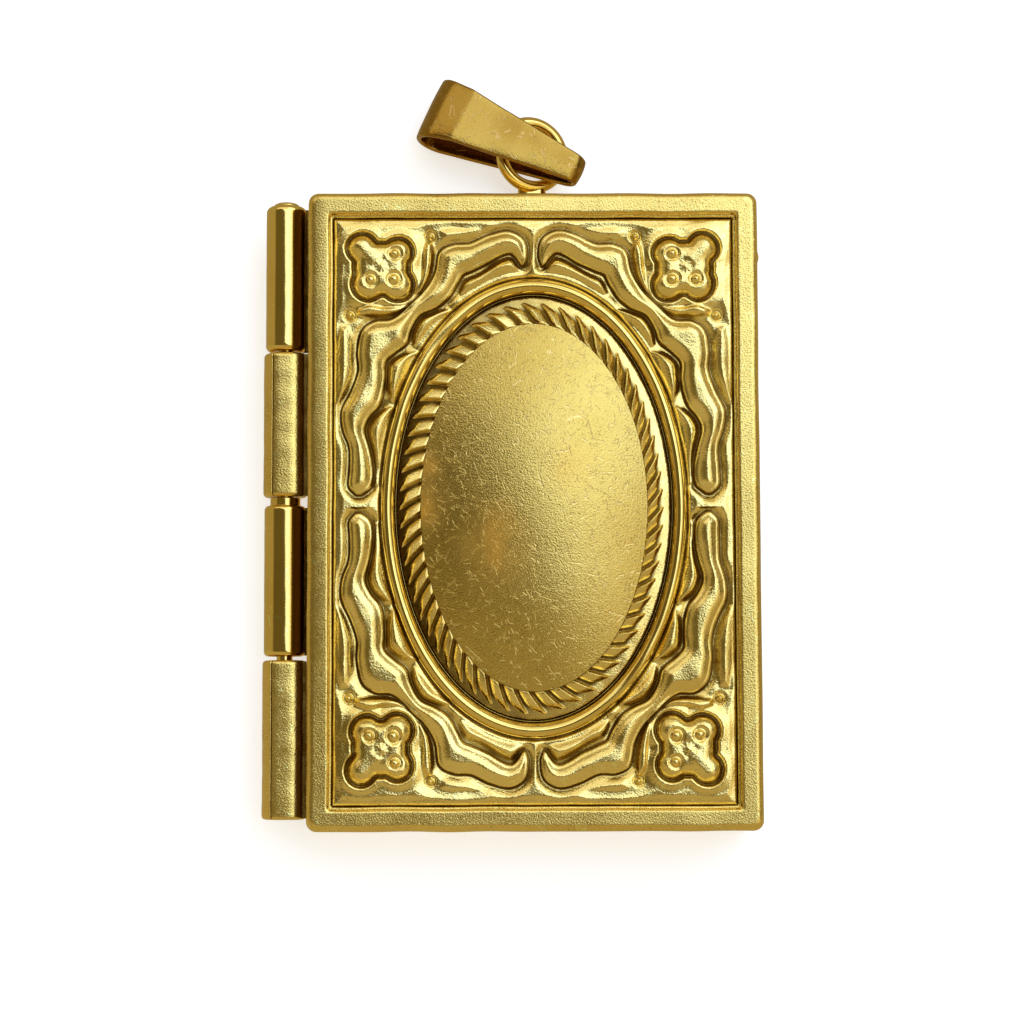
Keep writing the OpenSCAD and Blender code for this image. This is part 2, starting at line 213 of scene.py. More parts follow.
def smooth_curve(points, steps):
    """A smooth open curve through the points"""
    p = np.array(points, float)
    p = np.vstack([2 * p[0] - p[1], p, 2 * p[-1] - p[-2]])
    out = []
    for a, b, c, d in zip(p, p[1:], p[2:], p[3:]):
        for t in np.arange(steps) / steps:
            out.append(0.5 * (2 * b + (c - a) * t + (2 * a - 5 * b + 4 * c - d) * t**2
                              + (3 * b - a - 3 * c + d) * t**3))
    out.append(p[-2])
    return np.array(out)


def outline_of(rows, steps=5):
    """The closed outline of a form from its sections"""
    rows = np.array(rows)
    outer = smooth_curve(rows[:, :2], steps)
    inner = smooth_curve(rows[:, 2:], steps)
    return np.vstack([outer, inner[::-1]])


def depth_inside(u, v, outline):
    """Distance from each point to a closed outline, positive inside it"""
    nearest = np.full(u.shape, np.inf)
    inside = np.zeros(u.shape, bool)
    for (ax, ay), (bx, by) in zip(outline, np.roll(outline, -1, axis=0)):
        ex, ey = bx - ax, by - ay
        length = ex * ex + ey * ey
        if length < 1e-12:
            continue
        along = np.clip(((u - ax) * ex + (v - ay) * ey) / length, 0, 1)
        nearest = np.minimum(nearest, (u - ax - along * ex) ** 2 + (v - ay - along * ey) ** 2)
        crosses = (ay > v) != (by > v)
        if ay != by:
            inside ^= crosses & (u < ax + (v - ay) * ex / (by - ay))
    return np.where(inside, 1, -1) * np.sqrt(nearest)


def to_segment(u, v, start, end):
    """Distance from each point to a line between two points, and how far along it"""
    ex, ey = end[0] - start[0], end[1] - start[1]
    along = np.clip(((u - start[0]) * ex + (v - start[1]) * ey) / (ex * ex + ey * ey), 0, 1)
    return np.hypot(u - start[0] - along * ex, v - start[1] - along * ey), along


def ripple(x, y, length, seed, waves=7):
    """A smooth uneven surface of about unit height, with the given wave length"""
    random = np.random.default_rng(seed)
    total = np.zeros(np.shape(x))
    for _ in range(waves):
        angle = random.uniform(0, 2 * math.pi)
        pitch = length * random.uniform(0.7, 1.6)
        phase = random.uniform(0, 2 * math.pi)
        total += np.sin(2 * math.pi * (x * math.cos(angle) + y * math.sin(angle)) / pitch + phase)
    return total / math.sqrt(waves)


def shoulder(d, width):
    """A quarter wave that climbs from 0 at an outline to 1 at the given width inside it"""
    return np.sin(np.clip(d / width, 0, 1) * math.pi / 2)


def bump(d, centre, width):
    return np.exp(-(((d - centre) / width) ** 2))


def full_turn(steps):
    """Angles all the way round, without the last one, which is the first again"""
    return np.linspace(0, 2 * math.pi, steps, endpoint=False)


def quarter_turn(steps):
    return np.radians(np.linspace(0, 90, steps + 1))


def flower_outline(steps=200):
    """The corner flower's outline: the farthest reach of its lobes round the middle"""
    cx, cy, middle_r = FLOWER_MIDDLE
    t = full_turn(steps)
    ray = np.c_[np.cos(t), np.sin(t)]
    reach = np.full(steps, middle_r)
    for a, b, r in LOBES:
        along = ray @ (a - cx, b - cy)
        beside = (a - cx) ** 2 + (b - cy) ** 2 - along**2
        far = along + np.sqrt(np.clip(r * r - beside, 0, None))
        reach = np.where(beside < r * r, np.maximum(reach, far), reach)
    return (cx, cy) + ray * reach[:, None]


def lopsided_bump(d, centre, below, above):
    """A bump that has a width of its own on either side of its centre"""
    return np.where(d < centre, bump(d, centre, below), bump(d, centre, above))


def ornament(u, v):
    """Height of the cast ornament over its ground in one quarter, how deep each point lies in a groove,
    and the distance to the nearest outline"""
    height = np.zeros(u.shape)
    groove = np.zeros(u.shape)
    closeness = np.zeros(u.shape)
    for rows, land, width, depth, crest in FORMS:
        d = depth_inside(u, v, outline_of(rows))
        dip = lopsided_bump(d, -groove_out, groove_far, groove_near)
        height += land * shoulder(d, width) - depth * dip + crest * bump(d, 0.02, 0.06)
        groove += depth * bump(d, -0.07, 0.085)
        closeness += np.exp(-np.abs(d) / outline_reach)
    for a, b, r in BERRIES:
        d = r - np.hypot(u - a, v - b)
        height += berry_h * shoulder(d, r) - berry_groove * bump(d, -0.03, 0.06)
        groove += berry_groove * bump(d, -0.03, 0.05)
        closeness += np.exp(-np.abs(d) / outline_reach)
    # The flower is a pillow inside a raised rim, with the groove inside the rim's sharp crest
    d = depth_inside(u, v, flower_outline())
    dip = lopsided_bump(d, 0.10, 0.06, 0.13)
    rim = lopsided_bump(d, 0, 0.30, 0.06)
    height += pillow_h * shoulder(d - 0.08, 0.62) - flower_groove * dip + rim_h * rim
    height += np.where(d > 0.1, flower_details(u, v), 0)
    groove += flower_groove * bump(d, 0.08, 0.06)
    closeness += np.exp(-np.abs(d) / outline_reach)
    return height, groove, -outline_reach * np.log(closeness)


def flower_details(u, v):
    """The studs, the petal and the small star inside the corner flower"""
    total = np.zeros(u.shape)
    for a, b, r in STUDS:
        off = np.hypot(u - a, v - b)
        total += 0.10 * np.clip(1 - (off / (0.8 * r)) ** 2, 0, 1) - 0.09 * bump(off, r, 0.07)
    d, along = to_segment(u, v, petal_from, petal_to)
    total += 0.05 * shoulder(petal_r - d, petal_r)
    total -= 0.006 * bump(d, 0, 0.05) * np.clip(along / 0.2, 0, 1) * np.clip((1 - along) / 0.2, 0, 1)
    off = np.hypot(u - star_at[0], v - star_at[1])
    ray = np.arctan2(v - star_at[1], u - star_at[0])
    rays = 0.015 * np.cos(star_rays * ray) * bump(off, 0.18, 0.10)
    total += rays + 0.03 * bump(off, 0, 0.1) - 0.02 * bump(off, 0.3, 0.1)
    return total


def panel_height(x, y):
    """Height of points of the recessed panel over its ground, and how deep in a groove they lie"""
    u = np.abs(x) + wander[0] * ripple(x, y, wander[1], 11)
    rise = y - oval_y
    v = np.abs(rise) + wander[0] * ripple(x, y, wander[1], 12)
    reach = (band_top - waist_lower) / (band_top - waist_upper)
    v = np.where(rise < 0, waist_upper + (v - waist_lower) / reach, v)
    h, groove, nearest = ornament(u, v)
    edge = np.minimum(half_w - border_w - np.abs(x), half_h - border_w - np.abs(y))
    mean_r = math.sqrt(ring_outer[0] * ring_outer[1])
    oval = (np.hypot(x / ring_outer[0], rise / ring_outer[1]) - 1) * mean_r
    for d in (np.clip(edge, 0, None), np.clip(oval, 0, None)):
        h -= edge_groove[0] * bump(d, 0, edge_groove[1])
        groove += edge_tarnish_and_shade[0] * bump(d, 0, edge_tarnish_and_shade[1])
        nearest = np.minimum(nearest, d)
    swell = swell_h * np.clip(nearest / swell_reach, 0, 1) ** 2
    return h + swell + uneven[0] * ripple(x, y, uneven[1], 13), groove


def add_piece(name, points, faces, body, node, material, patina_and_shade=None, stain=None):
    """Makes a smooth mesh from points in millimetres, on its body and in place of its CAD node. The first
    mark shows where tarnish gathers and where shade is painted dark, the stain where the metal is
    discoloured, from 0 to 1 at each point."""
    mesh = bpy.data.meshes.new(name)
    mesh.from_pydata((np.asarray(points) * MM).tolist(), [], [list(f) for f in faces])
    mesh.polygons.foreach_set("use_smooth", [True] * len(mesh.polygons))
    for mark, values in (("patina_and_shade", patina_and_shade), ("stain", stain)):
        if values is not None:
            layer = mesh.attributes.new(mark, "FLOAT", "POINT")
            layer.data.foreach_set("value", np.asarray(values, np.float32))
    mesh.materials.append(material)
    mesh.update()
    piece = bpy.data.objects.new(name, mesh)
    bpy.context.scene.collection.objects.link(piece)
    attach(piece, body)
    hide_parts(node)
    return piece


def grid_faces(rows, columns, wrap_rows=False, wrap_columns=False):
    """Quads between the points of a grid, row after row"""
    index = np.arange(rows * columns).reshape(rows, columns)
    if wrap_rows:
        index = np.vstack([index, index[:1]])
    if wrap_columns:
        index = np.hstack([index, index[:, :1]])
    quads = np.stack([index[:-1, :-1], index[:-1, 1:], index[1:, 1:], index[1:, :-1]], axis=-1)
    return quads.reshape(-1, 4)


def loft(loops, cap_first=False, cap_last=False, wrap=False, turned=False):
    """Points and faces of a skin over closed loops that have as many points each. Turned faces look the
    other way."""
    count = len(loops[0])
    faces = [tuple(f) for f in grid_faces(len(loops), count, wrap_rows=wrap, wrap_columns=True)]
    if cap_first:
        faces.append(tuple(reversed(range(count))))
    if cap_last:
        start = (len(loops) - 1) * count
        faces.append(tuple(range(start, start + count)))
    if turned:
        faces = [face[::-1] for face in faces]
    return np.vstack(loops), faces


def rounded_loop(w, h, r, z, waver=0.0, seed=0):
    """A rectangle of half sizes w and h with round corners, seen from above"""
    side_steps, corner_steps = 90, 8
    corners = [(w - r, h - r, 0), (r - w, h - r, 90), (r - w, r - h, 180), (w - r, r - h, 270)]
    points = []
    for k, (cx, cy, start) in enumerate(corners):
        for a in np.radians(np.linspace(start, start + 90, corner_steps + 1)):
            points.append((cx + r * math.cos(a), cy + r * math.sin(a)))
        nx, ny, turn = corners[(k + 1) % 4]
        a = math.radians(turn)
        begin, end = points[-1], (nx + r * math.cos(a), ny + r * math.sin(a))
        for t in np.linspace(0, 1, side_steps + 1)[1:-1]:
            points.append((begin[0] + (end[0] - begin[0]) * t, begin[1] + (end[1] - begin[1]) * t))
    p = np.array(points)
    if waver:
        p += waver * np.c_[ripple(p[:, 0], p[:, 1], 3.0, seed), ripple(p[:, 0], p[:, 1], 3.0, seed + 1)]
    return np.c_[p, np.full(len(p), z)]


def oval_loop(a, b, z, steps=720):
    t = full_turn(steps)
    return np.c_[a * np.cos(t), oval_y + b * np.sin(t), np.broadcast_to(z, steps)]


def plug(tree, socket, value):
    """Sets a socket to a number or a colour, or links another node's output to it"""
    if isinstance(value, (int, float)):
        socket.default_value = value
    elif isinstance(value, tuple):
        socket.default_value = (*value, 1)
    else:
        tree.links.new(value, socket)


def maths(tree, operation, first, second=0.0):
    node = tree.nodes.new("ShaderNodeMath")
    node.operation = operation
    plug(tree, node.inputs[0], first)
    plug(tree, node.inputs[1], second)
    return node.outputs["Value"]


def mix(tree, factor, first, second):
    """The first colour where the factor is 0 and the second where it is 1"""
    node = tree.nodes.new("ShaderNodeMix")
    node.data_type = "RGBA"
    plug(tree, node.inputs["Factor"], factor)
    plug(tree, node.inputs["A"], first)
    plug(tree, node.inputs["B"], second)
    return node.outputs["Result"]


def ramp(tree, value, low, high, to_low=0.0, to_high=1.0, smooth=False):
    """Goes from to_low, where the value is low, to to_high, where it is high"""
    node = tree.nodes.new("ShaderNodeMapRange")
    if smooth:
        node.interpolation_type = "SMOOTHSTEP"
    node.inputs["From Min"].default_value = low
    node.inputs["From Max"].default_value = high
    node.inputs["To Min"].default_value = to_low
    node.inputs["To Max"].default_value = to_high
    tree.links.new(value, node.inputs["Value"])
    return node.outputs["Result"]


def brass(name, clean, roughness, grain, scratches, hairs):
    """Worn brass: satin grain and hairline scratches, both by their depth in millimetres, tarnish and
    painted shade in the hollows and gaps that the pieces mark, tarnish in small specks, warm stains and
    uneven tone. Hairs are the directions of the scratches in radians. Scratches of depth 0 only show as
    light lines."""
    dull = (clean[0] * 0.91, clean[1] * 0.87, clean[2] * 0.75)
    fresh = tuple(min(1.0, 1.2 * value + 0.12) for value in clean)
    # The dark colour stands both for tarnish and for painted shade
    stained, tarnish_and_shade_colour = (0.97, 0.50, 0.05), (0.14, 0.07, 0.008)
    material = bpy.data.materials.new(name)
    material.use_nodes = True
    tree = material.node_tree
    nodes, links = tree.nodes, tree.links
    shader = nodes["Principled BSDF"]
    place = nodes.new("ShaderNodeTexCoord").outputs["Object"]

    def noise(scale, detail=2.0):
        """Noise with so many waves in a metre"""
        texture = nodes.new("ShaderNodeTexNoise")
        texture.inputs["Scale"].default_value = scale
        texture.inputs["Detail"].default_value = detail
        links.new(place, texture.inputs["Vector"])
        return texture.outputs["Fac"]

    def mark(attribute):
        node = nodes.new("ShaderNodeAttribute")
        node.attribute_name = attribute
        return node.outputs["Fac"]

    def hairlines(scale, turn, stretch=2.6):
        """Short fine scratches: parts of the edges of long cells that are turned about Z"""
        mapping = nodes.new("ShaderNodeMapping")
        mapping.vector_type = "TEXTURE"
        mapping.inputs["Scale"].default_value = (1, stretch, 1)
        mapping.inputs["Rotation"].default_value = (0, 0, turn)
        links.new(place, mapping.inputs["Vector"])
        cells = nodes.new("ShaderNodeTexVoronoi")
        cells.feature = "DISTANCE_TO_EDGE"
        cells.inputs["Scale"].default_value = scale
        links.new(mapping.outputs["Vector"], cells.inputs["Vector"])
        patch = ramp(tree, noise(scale * (1.5 + 0.1 * turn), 1.0), 0.56, 0.62)
        line = ramp(tree, cells.outputs["Distance"], 0.007, 0.022, 1.0, 0.0)
        return maths(tree, "MULTIPLY", line, patch)

    cells_per_metre, more_cells = 1200, 170
    lines = 0.0
    for k, turn in enumerate(hairs):
        lines = maths(tree, "MAXIMUM", lines, hairlines(cells_per_metre + more_cells * k, turn))

    # Tarnish and painted shade have a ragged edge; tarnish also lies in specks on the rougher surfaces
    ragged = maths(tree, "ADD", mark("patina_and_shade"), maths(tree, "MULTIPLY", noise(1600, 3.0), 0.4))
    stipple = noise(13000, 2.0)
    blotches = ramp(tree, noise(800, 2.0), 0.42, 0.62)
    specks = maths(tree, "MULTIPLY", ramp(tree, stipple, 0.56, 0.68), blotches)
    specks = maths(tree, "MULTIPLY", specks, 2 * roughness)
    tarnish_and_shade = maths(tree, "MAXIMUM", ramp(tree, ragged, 0.45, 1.15), specks)

    # Stained metal is less of a mirror
    stain = maths(tree, "MULTIPLY", mark("stain"), ramp(tree, noise(900, 3.0), 0.3, 0.6, 0.45, 1.0))
    tone = mix(tree, ramp(tree, noise(170, 3.0), 0.4, 0.72), clean, dull)
    tone = mix(tree, maths(tree, "MULTIPLY", lines, 0.55), tone, fresh)
    tone = mix(tree, stain, tone, stained)
    links.new(ramp(tree, stain, 0.0, 1.0, 1.0, 0.2), shader.inputs["Metallic"])
    # Tarnish, and painted shade in grooves, gaps and between the rope's strands
    tone = mix(tree, tarnish_and_shade, tone, tarnish_and_shade_colour)
    links.new(tone, shader.inputs["Base Color"])

    uneven = noise(2600, 2.0)
    rough = ramp(tree, uneven, 0.3, 0.7, roughness * 0.9, roughness * 1.1)
    links.new(maths(tree, "ADD", rough, maths(tree, "MULTIPLY", tarnish_and_shade, 0.12)), shader.inputs["Roughness"])

    depth = maths(tree, "MULTIPLY", maths(tree, "ADD", stipple, maths(tree, "MULTIPLY", uneven, 0.2)), grain)
    if scratches:
        depth = maths(tree, "SUBTRACT", depth, maths(tree, "MULTIPLY", lines, scratches))
    relief = nodes.new("ShaderNodeBump")
    relief.inputs["Distance"].default_value = MM
    links.new(depth, relief.inputs["Height"])
    links.new(relief.outputs["Normal"], shader.inputs["Normal"])
    return material


def panel_pieces(material):
    """The recessed panel's cast relief, as an upper and a lower piece that meet along the waist"""
    pitch, under_border, under_ring = 0.048, 0.02, 0.06
    reach_x, reach_y = half_w - border_w + under_border, half_h - border_w + under_border
    xs = np.linspace(-reach_x, reach_x, int(2 * reach_x / pitch) + 1)
    for name, low, high in (("relief_upper", oval_y, reach_y), ("relief_lower", -reach_y, oval_y)):
        ys = np.linspace(low, high, int((high - low) / pitch) + 1)
        x, y = np.meshgrid(xs, ys)
        h, groove = panel_height(x, y)
        rim = np.hypot(x / (ring_outer[0] - under_ring), (y - oval_y) / (ring_outer[1] - under_ring))
        faces = grid_faces(len(ys), len(xs))
        faces = faces[(rim.ravel()[faces] > 1).any(axis=1)]
        used = np.unique(faces)
        place = np.full(x.size, -1)
        place[used] = np.arange(len(used))
        points = np.c_[x.ravel(), y.ravel(), ground_z + h.ravel()][used]
        # Tarnish and painted shade darken the grooves
        patina_and_shade = np.clip((groove.ravel()[used] - 0.03) / 0.08, 0, 1)
        add_piece(name, points, place[faces], "cover", "front_cover", material, patina_and_shade)


def oval_ring_piece(material):
    """The half-round ring about the oval, with a double groove inside it and a single one outside"""
    # The section's w runs from 0 at the inner edge to 1 at the outer edge
    groove_end, groove_pitch, groove_z, groove_deep = 0.16, 0.10, -0.12, 0.08
    crown_at, crown_reach, crown_z, crown_h = 0.56, 0.40, -0.18, 0.44
    loops, patina_and_shade = [], []
    for w in np.linspace(0, 1, 51):
        a = ring_inner[0] + (ring_outer[0] - ring_inner[0]) * w
        b = ring_inner[1] + (ring_outer[1] - ring_inner[1]) * w
        across = abs(w - crown_at) / crown_reach
        if w < groove_end:
            z = groove_z + groove_deep * math.cos(2 * math.pi * w / groove_pitch)
        else:
            z = crown_z + crown_h * math.sqrt(max(0.0, 1 - across**2))
        loop = oval_loop(a, b, ground_z + z)
        loop[:, 2] += 0.006 * ripple(loop[:, 0], loop[:, 1], 2.6, 21)
        loops.append(loop)
        # Tarnish and painted shade darken the ring's grooves and low parts
        patina_and_shade += [np.clip((0.02 - z) / 0.14, 0, 1)] * len(loop)
    points, faces = loft(loops, turned=True)
    add_piece("oval_ring", points, faces, "cover", "front_cover", material, patina_and_shade)


def rope_height(phase, w, reach):
    """Height of the rope border: phase runs from 0 to 1 over one strand, w from the dome outwards, and
    reach is where the strand's thin end lies"""
    crest, foot = 0.64, 0.84
    narrow = np.clip((w - 0.5 * reach) / (0.5 * reach), 0, 1) ** 2
    start = 0.05 + (crest - 0.10) * narrow
    belly = np.clip((phase - start) / (crest - start), 0, 1)
    drop = np.clip((phase - crest) / (foot - crest), 0, 1)
    nose = np.sqrt(np.clip(w / 0.12, 0, 1))
    tail = np.sqrt(np.clip((reach - w) / 0.25, 0, 1))
    return belly**0.8 * (1 - drop) * nose * tail


def rope_piece(material):
    """The border of slanted strands between the dome and the ring. They lean more at the opening side."""
    across, per_strand, strand_h = 34, 30, 0.22
    steps = rope_count * per_strand
    t = np.linspace(0, 2 * math.pi, 4001)
    mid_a = (dome_edge[0] + rope_outer[0]) / 2
    mid_b = (dome_edge[1] + rope_outer[1]) / 2
    arc = np.r_[0, np.cumsum(np.hypot(np.diff(mid_a * np.cos(t)), np.diff(mid_b * np.sin(t))))]
    share = np.linspace(0, 1, steps, endpoint=False)
    phase = (np.arange(steps) % per_strand) / per_strand
    side = np.cos(np.interp(share * arc[-1], arc, t))
    lean = 1.2 + 0.35 * side
    reach = 0.80 - 0.13 * side
    loops, patina_and_shade = [], []
    for w in np.linspace(0, 1, across):
        angle = np.interp((share + lean * (w - 0.5) / rope_count) % 1 * arc[-1], arc, t)
        a = dome_edge[0] + (rope_outer[0] - dome_edge[0]) * w
        b = dome_edge[1] + (rope_outer[1] - dome_edge[1]) * w
        x, y = a * np.cos(angle), b * np.sin(angle)
        strand = rope_height(phase, w, reach)
        ground = 0.05 - 0.08 * shoulder(w, 0.15) - 0.13 * w**2
        z = ground + strand_h * strand * (1 + 0.1 * ripple(x, y, 2.4, 31)) + 0.008 * ripple(x, y, 0.9, 32)
        loops.append(np.c_[x, oval_y + y, ground_z + z])
        # Painted shade darkens the ground between the strands. At the opening side, where the light falls,
        # the ground beyond the strands is left bright.
        lit_ground = np.clip((w - 0.5) / 0.2, 0, 1) * (0.5 + 0.5 * side)
        patina_and_shade.append(np.clip(1.0 - 6 * strand, 0, 1) * (1 - lit_ground))
    points, faces = loft(loops, turned=True)
    add_piece("rope_border", points, faces, "cover", "front_cover", material, np.hstack(patina_and_shade))


# Stains on the dome: x, y, radius, strength
STAINS = [
    (-1.72, -1.55, 1.30, 0.70),
    (-1.62, -1.75, 0.60, 1.0),
    (1.65, 1.75, 0.80, 0.30),
    (-4.8, 0.2, 0.80, 0.8),
    (-4.7, 1.9, 0.70, 0.6),
]


def dome_piece(material):
    """The smooth oval dome in the middle, with its warm stains"""
    foot_h = 0.08
    loops = []
    for r in np.linspace(1.0, 0.02, 90):
        loop = oval_loop(dome_edge[0] * r, dome_edge[1] * r, 0, 540)
        z = foot_h + (dome_h - foot_h) * (1 - r**2) + 0.010 * ripple(loop[:, 0], loop[:, 1], 5.0, 41)
        loop[:, 2] = ground_z + z
        loops.append(loop)
    points, faces = loft(loops, cap_last=True)
    stain = np.zeros(len(points))
    for x, y, reach, strength in STAINS:
        off = np.hypot(points[:, 0] - x, (points[:, 1] - y) * 0.8)
        stain = np.maximum(stain, strength * np.exp(-((off / reach) ** 2)))
    add_piece("oval_dome", points, faces, "cover", "front_cover", material, stain=stain)


def cover_shell_piece(material):
    """The front cover's raised border, its walls and its plain inside"""
    # Steps of the section from the panel outwards and round to the inside: inset, height, corner radius
    low_z = cover_t + seam_gap
    skin_z = ground_z - wall_t
    rows = [
        (border_w + 0.03, ground_z - 0.16, 0.10),
        (border_w - 0.01, ground_z - 0.10, 0.10),
        (border_w - 0.03, ground_z + 0.04, 0.10),
        (border_w - 0.06, ground_z + 0.075, 0.10),
        (border_w - 0.09, ground_z + 0.05, 0.12),
        (border_w - 0.11, ground_z + 0.10, 0.12),
        (border_w - 0.14, ground_z + 0.22, 0.14),
        (border_w - 0.17, ground_z + 0.285, 0.16),
        (border_w - 0.22, ground_z + 0.315, 0.18),
    ]
    for inset in (0.84, 0.80, 0.60, 0.40, edge_w + 0.03):
        rows.append((inset, case_t, corner_r - inset * 0.4))
    for a in quarter_turn(8):
        inset = edge_w * (1 - math.sin(a))
        rows.append((inset, case_t - edge_r * (1 - math.cos(a)), corner_r - inset * 0.3))
    for z in np.linspace(case_t - edge_r, low_z + 0.08, 5)[1:]:
        rows.append((0.0, z, corner_r))
    rows += [
        (0.03, low_z + 0.02, corner_r),
        (0.07, low_z, corner_r),
        (wall_t - 0.04, low_z, 0.24),
        (wall_t, low_z + 0.04, 0.2),
        (wall_t, skin_z - 0.1, 0.2),
        (wall_t + 0.1, skin_z, 0.2),
        (2.0, skin_z, 0.3),
        (5.0, skin_z + 0.02, 0.3),
        (9.0, skin_z + 0.02, 0.3),
    ]
    loops, patina_and_shade = [], []
    for inset, z, r in rows:
        waver = 0.0 if inset > border_w else 0.010
        loop = rounded_loop(half_w - inset, half_h - inset, r, z, waver, 51)
        if z > ground_z and inset > edge_r * 0.5:
            loop[:, 2] += 0.006 * ripple(loop[:, 0], loop[:, 1], 2.2, 53)
        # The border's left edge is worn down a little, less so towards the bottom
        at_left = np.clip((-loop[:, 0] - half_w + 0.8) / 0.55, 0, 1)
        worn_down = at_left * np.clip((loop[:, 1] + 12) / 6, 0, 1)
        loop[:, 2] -= 0.05 * worn_down**2 * np.clip((z - case_t + edge_r) / edge_r, 0, 1)
        loops.append(loop)
        # Tarnish and painted shade lie in the groove round the panel, and painted shade on the wall beside
        # the spine
        if inset > 0.9:
            deep = np.clip((ground_z + 0.03 - z) / 0.1, 0, 1) if z > skin_z + 0.1 else 0.0
            patina_and_shade.append(np.full(len(loop), deep))
        else:
            at_spine = loop[:, 0] < -half_w + 0.1
            patina_and_shade.append(np.where(at_spine, np.clip((case_t - 0.2 - z) / 0.4, 0, 1), 0.0))
    points, faces = loft(loops, cap_last=True, turned=True)
    add_piece("cover_shell", points, faces, "cover", "front_cover", material, np.hstack(patina_and_shade))


def case_shell_piece(material):
    """The back cover's tray with its plain back, its walls and the catch rim inside the seam"""
    back_r = 0.3
    rim_in = wall_t + 0.1
    rim_t = 0.3
    rim_z = cover_t + 0.7
    # Steps of the section from the middle of the back outwards and round to the inside: inset, height,
    # corner radius
    rows = [(9.0, 0.0, 0.3), (5.0, 0.0, 0.3), (2.0, 0.0, 0.3), (0.6, 0.0, 0.3)]
    for a in quarter_turn(8):
        inset = back_r * (1 - math.sin(a))
        rows.append((inset, back_r * (1 - math.cos(a)), corner_r - inset * 0.3))
    for z in np.linspace(back_r, cover_t - 0.06, 6)[1:]:
        rows.append((0.0, z, corner_r))
    rows += [
        (0.02, cover_t - 0.02, corner_r),
        (0.06, cover_t, corner_r),
        (rim_in - 0.02, cover_t, 0.3),
        (rim_in, cover_t + 0.02, 0.3),
        (rim_in, rim_z - 0.08, 0.3),
        (rim_in + 0.04, rim_z, 0.25),
        (rim_in + rim_t - 0.04, rim_z, 0.2),
        (rim_in + rim_t, rim_z - 0.04, 0.2),
        (rim_in + rim_t, wall_t + 0.1, 0.2),
        (rim_in + rim_t + 0.1, wall_t, 0.2),
        (2.0, wall_t, 0.3),
        (5.0, wall_t, 0.3),
        (9.0, wall_t, 0.3),
    ]
    loops = []
    for inset, z, r in rows:
        loop = rounded_loop(half_w - inset, half_h - inset, r, z)
        # The catch rim is left out beside the spine, where the covers swing past each other
        spine_side = loop[:, 0] < -half_w + 2
        if z > cover_t:
            loop[spine_side, 2] = cover_t + 0.05 * (z - cover_t)
        loops.append(loop)
    points, faces = loft(loops, cap_first=True, cap_last=True)
    add_piece("case_shell", points, faces, "case", "back_cover", material)


# Knuckles along the spine: name, from_y, to_y, radius, rounding of the ends, body. Those of the front
# cover are flattened on top, where its sheet ends in a seam.
KNUCKLES = [
    ("knuckle_top", 13.73, 7.17, 0.893, 0.26, "case"),
    ("knuckle_upper", 7.08, 0.68, 0.969, 0.16, "cover"),
    ("knuckle_neck", 0.63, 0.28, 0.665, 0.03, "case"),
    ("knuckle_middle", 0.30, -6.36, 0.92, 0.20, "case"),
    ("knuckle_low", -6.54, -13.5, 0.969, 0.16, "cover"),
]
seam_turn = math.radians(122)
seam_w, seam_deep = 0.032, 0.12
bore_r = 0.38


def knuckle_section(r, flat):
    """Points round a knuckle in x and z, and how near to its seam they are. Steps are finer at the seam."""
    fine = 5
    t = full_turn(108)
    near = seam_turn + np.radians(np.linspace(-fine, fine, 17))
    t = np.sort(np.r_[t[np.abs(t - seam_turn) > math.radians(fine + 0.3)], near])
    section = r * np.c_[np.cos(t), np.sin(t)]
    seam = np.zeros(len(t))
    if flat:
        top = (t < seam_turn) & (t > 0)
        section[top, 1] = 0.97 * r * (1 - (1 - np.sin(t[top])) ** 1.6)
        seam = bump(t, seam_turn, seam_w)
        section *= 1 - seam_deep * seam[:, None]
    return section, seam


def knuckle_piece(name, top, bottom, r, rounding, body, material):
    """One knuckle with rounded ends"""
    flat = body == "cover"
    section, seam = knuckle_section(r, flat)
    steps = len(section)
    ends = [(rounding * (1 - math.cos(a)), rounding * (1 - math.sin(a))) for a in quarter_turn(8)]
    rows = [(top - along, inset) for along, inset in ends]
    rows += [(y, 0.0) for y in np.linspace(top - rounding, bottom + rounding, 70)[1:-1]]
    rows += [(bottom + along, inset) for along, inset in reversed(ends)]
    bore = section / np.linalg.norm(section, axis=1)[:, None] * bore_r
    loops = [np.c_[bore[:, 0], np.full(steps, top), bore[:, 1]]]
    wave = 0.006 if flat else 0.002
    for y, inset in rows:
        dent = wave * ripple(np.full(steps, y), section[:, 0] + section[:, 1], 1.5, 61)
        p = section * (1 - (inset + dent) / r)[:, None]
        loops.append(np.c_[p[:, 0], np.full(steps, y), p[:, 1]])
    loops.append(np.c_[bore[:, 0], np.full(steps, bottom), bore[:, 1]])
    points, faces = loft([loop + (hinge_x, 0, hinge_z) for loop in loops], wrap=True)
    node = "front_cover" if flat else "back_cover"
    add_piece(name, points, faces, body, node, material, np.tile(seam, len(loops)))


def leaf_piece(name, top, bottom, r, body, material):
    """The strip of sheet from a knuckle to its cover's wall"""
    flat = body == "cover"
    node = "front_cover" if flat else "back_cover"
    high, low = (0.62, 0.25) if flat else (-0.25, -0.62)
    x_rows = [hinge_x, hinge_x + 0.4, -half_w - 0.1, -half_w + 0.2]
    loops = []
    for x in x_rows:
        corners = [(top - 0.05, high), (bottom + 0.05, high), (bottom + 0.05, low), (top - 0.05, low)]
        loops.append(np.array([(x, y, hinge_z + r * z) for y, z in corners]))
    points, faces = loft(loops, cap_first=True, cap_last=True)
    # The whole leaf is painted dark, as painted shade in the gap between knuckle and cover
    piece = add_piece(name, points, faces, body, node, material, patina_and_shade=[0.9] * len(points))
    soften(piece, 0.05)


def soften(piece, width, segments=2):
    """Rounds a piece's edges and keeps its faces flat"""
    bevel = piece.modifiers.new("soft edges", "BEVEL")
    bevel.width = width * MM
    bevel.segments = segments
    bevel.limit_method = "ANGLE"
    piece.modifiers.new("flat faces", "WEIGHTED_NORMAL")


